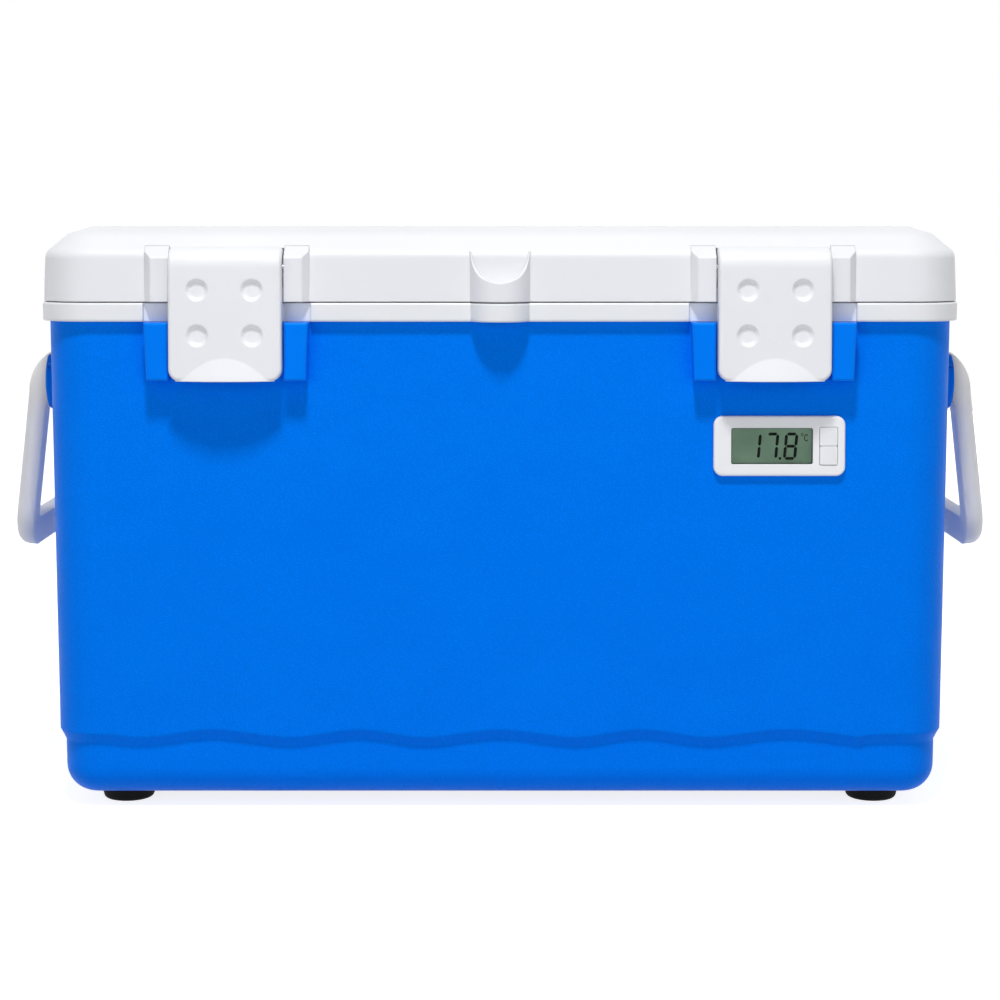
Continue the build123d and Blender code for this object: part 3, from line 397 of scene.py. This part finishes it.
# The lid's front face as the CAD has it: a drafted wall, a round and a bevel
lid_wall_rise = 0.0284
lid_wall_inset = 0.001
lid_bevel_rise = 0.0115
lid_bevel_inset = 0.0139
lid_round = 0.007
wall_angle = math.atan(lid_wall_inset / lid_wall_rise)
bevel_angle = math.atan(lid_bevel_inset / lid_bevel_rise)
tangent = lid_round * math.tan((bevel_angle - wall_angle) / 2)
round_inset = lid_wall_inset - tangent * math.sin(wall_angle) + lid_round * math.cos(wall_angle)
round_rise = lid_wall_rise - tangent * math.cos(wall_angle) - lid_round * math.sin(wall_angle)

# The tab's round front, and how near a face or point counts as the same
tab_half_width = 0.01725
tab_radius = (tab_half_width**2 + tab_reach**2) / (2 * tab_reach)
tab_axis_y = lid_front - tab_reach + tab_radius
same_face = 0.9
near_tab = 0.0001
key_steps_per_metre = 1e5
merge_reach = 1e-6
cutter_merge_reach = 1e-7


def lid_slope(rise):
    """Angle that the lid's front face leans back from the vertical at a height above its edge."""
    sine = max(-1.0, min(1.0, (rise - round_rise) / lid_round))
    return max(wall_angle, min(bevel_angle, math.asin(sine)))


def lid_inset(rise):
    """How far the lid's front face stands behind its lower edge at a height above it."""
    angle = lid_slope(rise)
    inset = round_inset - lid_round * math.cos(angle)
    return inset + (rise - round_rise - lid_round * math.sin(angle)) * math.tan(angle)


def recess_levels():
    """Height above the lid's edge and half width of the recess, from its lowest point up."""
    drop = recess_high_rise - recess_low_rise
    levels = []
    for index in range(recess_steps):
        angle = math.pi / 2 * index / recess_steps
        rise = recess_high_rise - drop * math.cos(angle)
        if rise < tip_rise - tip_slope:
            levels.append((rise, recess_half_width * math.sin(angle)))
    levels.append((tip_rise, levels[-1][1]))
    for step in range(tip_steps):
        levels.append((tip_rise + tip_slope * (step + 1), tip_half_width))
    levels.append((recess_top_rise, tip_half_width))
    return levels


def recess_cutter():
    """Solid to cut the recess with: it ends just in front of the lid's own bevel."""
    work = bmesh.new()
    front = lid_front - recess_reach
    rings = []
    for rise, half in recess_levels():
        back = lid_front + max(recess_wall_inset, lid_inset(rise) - skin)
        z = lid_low.z + rise
        corners = ((-half, front), (half, front), (half, back), (-half, back))
        rings.append([work.verts.new((x, y, z)) for x, y in corners])
    for lower, upper in zip(rings, rings[1:]):
        for index in range(4):
            after = (index + 1) % 4
            work.faces.new((lower[index], lower[after], upper[after], upper[index]))
    work.faces.new(rings[-1])
    bmesh.ops.remove_doubles(work, verts=work.verts, dist=cutter_merge_reach)
    bmesh.ops.recalc_face_normals(work, faces=work.faces)
    mesh = bpy.data.meshes.new("recess_cutter")
    work.to_mesh(mesh)
    work.free()
    cutter = bpy.data.objects.new("recess_cutter", mesh)
    scene.collection.objects.link(cutter)
    return cutter


def place_key(place):
    return tuple(round(value * key_steps_per_metre) for value in place)


def kept_normals(mesh):
    """The face and corner normals at each place of a mesh."""
    kept = {}
    for face in mesh.polygons:
        for corner in face.loop_indices:
            place = mesh.vertices[mesh.loops[corner].vertex_index].co
            pair = (face.normal.copy(), mesh.corner_normals[corner].vector.copy())
            kept.setdefault(place_key(place), []).append(pair)
    return kept


def recessed_normal(place, face_normal, kept):
    """The lid's own normal where the corner was kept, round on the tab, and even on the cut."""
    pairs = kept.get(place_key(place), [])
    best = max(pairs, key=lambda pair: pair[0].dot(face_normal), default=None)
    if best is not None and best[0].dot(face_normal) > same_face:
        return best[1]
    spoke = Vector((place.x, place.y - tab_axis_y, 0))
    on_tab = abs(spoke.length - tab_radius) < near_tab
    if on_tab and spoke.normalized().dot(face_normal) > same_face:
        return spoke.normalized()
    rise = place.z - lid_low.z
    angle = lid_slope(rise) if rise > round_rise else 0
    slope = Vector((0, -math.cos(angle), math.sin(angle)))
    return slope if slope.dot(face_normal) > same_face else face_normal.copy()


def recessed_normals(mesh):
    """Corner normals for the lid with the recess."""
    kept = kept_normals(nodes["lid_shell"].data)
    normals = [None] * len(mesh.loops)
    for face in mesh.polygons:
        for corner in face.loop_indices:
            place = mesh.vertices[mesh.loops[corner].vertex_index].co
            normals[corner] = recessed_normal(place, face.normal, kept)
    return normals


def recessed_lid():
    """The lid's shell with the recess cut into its tab."""
    work = bmesh.new()
    work.from_mesh(nodes["lid_shell"].data)
    bmesh.ops.remove_doubles(work, verts=work.verts, dist=merge_reach)
    whole = bpy.data.meshes.new("lid_whole")
    work.to_mesh(whole)
    work.free()
    blank = bpy.data.objects.new("lid_blank", whole)
    scene.collection.objects.link(blank)
    cutter = recess_cutter()
    cut = blank.modifiers.new("recess", "BOOLEAN")
    cut.operation = "DIFFERENCE"
    cut.solver = "EXACT"
    cut.object = cutter
    ready = blank.evaluated_get(bpy.context.evaluated_depsgraph_get())
    mesh = bpy.data.meshes.new_from_object(ready)
    bpy.data.objects.remove(blank)
    bpy.data.objects.remove(cutter)
    mesh.name = "recessed_lid"
    mesh.materials.clear()
    mesh.materials.append(finishes["lid_white"])
    for face in mesh.polygons:
        face.use_smooth = True
        face.material_index = 0
    mesh.normals_split_custom_set(recessed_normals(mesh))
    piece = bpy.data.objects.new("recessed_lid", mesh)
    scene.collection.objects.link(piece)
    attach(piece, "lid")
    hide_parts("lid_shell")


recessed_lid()


# Display: seven-segment digits, the point and the unit, on the panel's face
figure_places = (("1", 0.0099), ("7", 0.0201), ("8", 0.0312))
digit_rise = 0.0031
digit_height = 0.0143
digit_width = 0.0060
digit_slant = math.tan(math.radians(5))
segment_width = 0.00175
segment_gap = 0.12
point_place = (0.0286, 0.0031)
point_radius = 0.00085
point_sides = 8
unit_place = (0.0440, 0.0152)
unit_reach = (0.0013, 0.0021)
unit_line = 0.0005
unit_sides = 20
unit_opening = 2
degree_place = (0.0415, 0.0171)
degree_radius = 0.0008
degree_line = 0.00035
degree_sides = 12
# Width of the dark frame inside the window, which is painted shadow of the window's recess
painted_shadow_width = 0.0004
figure_relief = 0.00003
segment_map = {"1": "bc", "7": "abc", "8": "abcdefg"}
panel_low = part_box("lcd_panel")[0]
window_low, window_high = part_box("display_window")
figure_front = panel_low.y - figure_relief


def slab(work, outline, y_front):
    """Thin slab from an outline of (x, z) points, its back on the panel."""
    loops = []
    for y in (y_front, panel_low.y):
        loops.append([work.verts.new((x, y, z)) for x, z in outline])
    work.faces.new(loops[0])
    work.faces.new(list(reversed(loops[1])))
    count = len(outline)
    for index in range(count):
        after = (index + 1) % count
        work.faces.new((loops[0][index], loops[1][index], loops[1][after], loops[0][after]))


def bar(start, end, width):
    """Six-sided segment between two points."""
    start, end = Vector(start), Vector(end)
    along = (end - start).normalized()
    side = Vector((-along.y, along.x)) * width / 2
    tip = along * width / 2
    gap = along * width * segment_gap
    start, end = start + gap, end - gap
    return [start, start + tip + side, end - tip + side, end, end - tip - side, start + tip - side]


def digit_bars(figure, x_left, z_low, width, height):
    """Outlines of one figure's segments, slanted."""
    top, middle, bottom = z_low + height, z_low + height / 2, z_low
    left, right = x_left, x_left + width
    ends = {
        "a": ((left, top), (right, top)),
        "b": ((right, top), (right, middle)),
        "c": ((right, middle), (right, bottom)),
        "d": ((left, bottom), (right, bottom)),
        "e": ((left, middle), (left, bottom)),
        "f": ((left, top), (left, middle)),
        "g": ((left, middle), (right, middle)),
    }
    outlines = []
    for letter in segment_map[figure]:
        points = bar(*ends[letter], segment_width)
        outlines.append([(x + (z - z_low) * digit_slant, z) for x, z in points])
    return outlines


def ring_points(x, z, radius_x, radius_z, count):
    angles = [2 * math.pi * index / count for index in range(count)]
    return [(x + radius_x * math.cos(angle), z + radius_z * math.sin(angle)) for angle in angles]


def ring_quads(outer, inner, first, last):
    """Quads between two rings of points, from one step to another."""
    count = len(outer)
    quads = []
    for index in range(first, last):
        after = (index + 1) % count
        quads.append([outer[index], outer[after], inner[after], inner[index]])
    return quads


def window_place(place):
    """Point on the window from its lower left corner."""
    return window_low.x + place[0], window_low.z + place[1]


def display_figures(work):
    outlines = []
    for figure, offset in figure_places:
        x_left, z_low = window_place((offset, digit_rise))
        outlines += digit_bars(figure, x_left, z_low, digit_width, digit_height)
    point_x, point_z = window_place(point_place)
    outlines.append(ring_points(point_x, point_z, point_radius, point_radius, point_sides))
    unit_x, unit_z = window_place(unit_place)
    reach_x, reach_z = unit_reach
    outer = ring_points(unit_x, unit_z, reach_x, reach_z, unit_sides)
    inner = ring_points(unit_x, unit_z, reach_x - unit_line, reach_z - unit_line, unit_sides)
    outlines += ring_quads(outer, inner, unit_opening, unit_sides - unit_opening)
    degree_x, degree_z = window_place(degree_place)
    hole_radius = degree_radius - degree_line
    outer = ring_points(degree_x, degree_z, degree_radius, degree_radius, degree_sides)
    inner = ring_points(degree_x, degree_z, hole_radius, hole_radius, degree_sides)
    outlines += ring_quads(outer, inner, 0, degree_sides)
    for outline in outlines:
        slab(work, outline, figure_front)


def rectangle(inset):
    x_low, x_high = window_low.x + inset, window_high.x - inset
    z_low, z_high = window_low.z + inset, window_high.z - inset
    return [(x_low, z_low), (x_high, z_low), (x_high, z_high), (x_low, z_high)]


# Thin dark frame just inside the window on all four sides: painted shadow of the window's recess
def painted_recess_shadow(work):
    for quad in ring_quads(rectangle(0), rectangle(painted_shadow_width), 0, 4):
        slab(work, quad, figure_front)


ink = moulded("display_ink", linear(2, 4, 2), linear(8, 11, 8), 0.5, 0.6,
              Specular_IOR_Level=0.1)
# Dark green-grey of that frame: painted recess shadow, not the display's own colour
painted_shadow_finish = moulded("display_painted_shadow", linear(34, 44, 37), linear(44, 54, 47), 0.5, 0.6,
                   Specular_IOR_Level=0.2)
new_piece("display_figures", display_figures, ink, "box")
new_piece("painted_recess_shadow", painted_recess_shadow, painted_shadow_finish, "box")


# Domed plugs over the ends of the handle pins
plug_radius = 0.00146
plug_profile = ((1.0, 0.0), (1.0, 0.4), (0.76, 0.8), (0.35, 0.97))
plug_rise = 0.00034
plug_sides = 20


def pin_plug(work, centre, outward):
    """Dome on a pin's end; outward is -1 towards the front and 1 towards the back."""
    rings = []
    for share, rise in plug_profile:
        y = centre.y + outward * rise * plug_rise
        points = ring_points(centre.x, centre.z, plug_radius * share, plug_radius * share, plug_sides)
        rings.append([work.verts.new((x, y, z)) for x, z in points])
    tip = work.verts.new((centre.x, centre.y + outward * plug_rise, centre.z))
    work.faces.new(rings[0])
    for low_ring, high_ring in zip(rings, rings[1:]):
        for index in range(plug_sides):
            after = (index + 1) % plug_sides
            work.faces.new((low_ring[index], low_ring[after], high_ring[after], high_ring[index]))
    for index in range(plug_sides):
        work.faces.new((rings[-1][index], rings[-1][(index + 1) % plug_sides], tip))


for pin_name in [name for name in nodes if name.endswith("handle_pin")]:
    pin_low, pin_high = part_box(pin_name)
    pin_middle = (pin_low + pin_high) / 2
    for end_name, end_y, outward in (("front", pin_low.y, -1), ("rear", pin_high.y, 1)):
        end = Vector((pin_middle.x, end_y, pin_middle.z))
        new_piece(pin_name + "_plug_" + end_name, lambda work: pin_plug(work, end, outward),
                  finishes["smooth_blue"], "box")


# Floor, lamps and white surroundings
floor_grey = (0.6, 0.6, 0.6, 1)
floor_rough = 0.9
floor_lift = 0.82
floor_reach = 14.0
white = (1, 1, 1, 1)
ambient_strength = 0.2
seen_strength = 1.0


def seen_rays(tree):
    """1 for the rays of the camera, of gloss and of transmission, which see the white surroundings."""
    path = tree.nodes.new("ShaderNodeLightPath")
    seen_by = path.outputs["Is Camera Ray"]
    for kind in ("Is Glossy Ray", "Is Transmission Ray"):
        either = tree.nodes.new("ShaderNodeMath")
        either.operation = "MAXIMUM"
        tree.links.new(seen_by, either.inputs[0])
        tree.links.new(path.outputs[kind], either.inputs[1])
        seen_by = either.outputs["Value"]
    return seen_by


def floor_material():
    """Pale floor that lifts to white for the rays that see the surroundings, and keeps the shadow."""
    material = bpy.data.materials.new("floor")
    material.use_nodes = True
    tree = material.node_tree
    shader = tree.nodes["Principled BSDF"]
    shader.inputs["Base Color"].default_value = floor_grey
    shader.inputs["Roughness"].default_value = floor_rough
    glow = tree.nodes.new("ShaderNodeEmission")
    glow.inputs["Color"].default_value = white
    lift = tree.nodes.new("ShaderNodeMath")
    lift.operation = "MULTIPLY"
    lift.inputs[1].default_value = floor_lift
    tree.links.new(seen_rays(tree), lift.inputs[0])
    tree.links.new(lift.outputs["Value"], glow.inputs["Strength"])
    both = tree.nodes.new("ShaderNodeAddShader")
    tree.links.new(shader.outputs["BSDF"], both.inputs[0])
    tree.links.new(glow.outputs["Emission"], both.inputs[1])
    tree.links.new(both.outputs["Shader"], tree.nodes["Material Output"].inputs["Surface"])
    return material


floor_mesh = bpy.data.meshes.new("floor")
corners = [(x * floor_reach, y * floor_reach, 0) for x, y in ((-1, -1), (1, -1), (1, 1), (-1, 1))]
floor_mesh.from_pydata(corners, [], [(0, 1, 2, 3)])
floor_mesh.materials.append(floor_material())
floor = bpy.data.objects.new("floor", floor_mesh)
scene.collection.objects.link(floor)

world = bpy.data.worlds.new("surroundings")
scene.world = world
world.use_nodes = True
sky = world.node_tree
ambient = sky.nodes["Background"]
ambient.inputs["Color"].default_value = white
ambient.inputs["Strength"].default_value = ambient_strength
seen = sky.nodes.new("ShaderNodeBackground")
seen.inputs["Color"].default_value = white
seen.inputs["Strength"].default_value = seen_strength
mix = sky.nodes.new("ShaderNodeMixShader")
sky.links.new(seen_rays(sky), mix.inputs["Fac"])
sky.links.new(ambient.outputs["Background"], mix.inputs[1])
sky.links.new(seen.outputs["Background"], mix.inputs[2])
sky.links.new(mix.outputs["Shader"], sky.nodes["World Output"].inputs["Surface"])


def lamp(name, place, target, size, power, in_gloss=False):
    """Square area lamp aimed at a target; one that isn't in gloss shows in no highlight."""
    data = bpy.data.lights.new(name, "AREA")
    data.shape = "RECTANGLE"
    data.size = data.size_y = size
    data.energy = power
    holder = bpy.data.objects.new(name, data)
    scene.collection.objects.link(holder)
    holder.visible_glossy = in_gloss
    holder.location = place
    holder.rotation_euler = (Vector(target) - Vector(place)).to_track_quat("-Z", "Y").to_euler()


lamp("key", (-0.06, -1.1, 2.12), (0, 0, 0.2), 0.24, 33, in_gloss=True)
lamp("left_fill", (-1.2, -2.6, 0.6), (0, 0, 0.15), 1.4, 11.4)
lamp("right_fill", (1.2, -2.6, 0.6), (0, 0, 0.15), 1.4, 10.4)
lamp("left_side", (-2.2, 1.3, 0.5), (0, 0, 0.17), 1.2, 15)
lamp("right_side", (2.2, 1.3, 0.5), (0, 0, 0.17), 1.2, 15)
lamp("back", (0.3, 2.8, 0.6), (0, 0, 0.17), 1.4, 20)
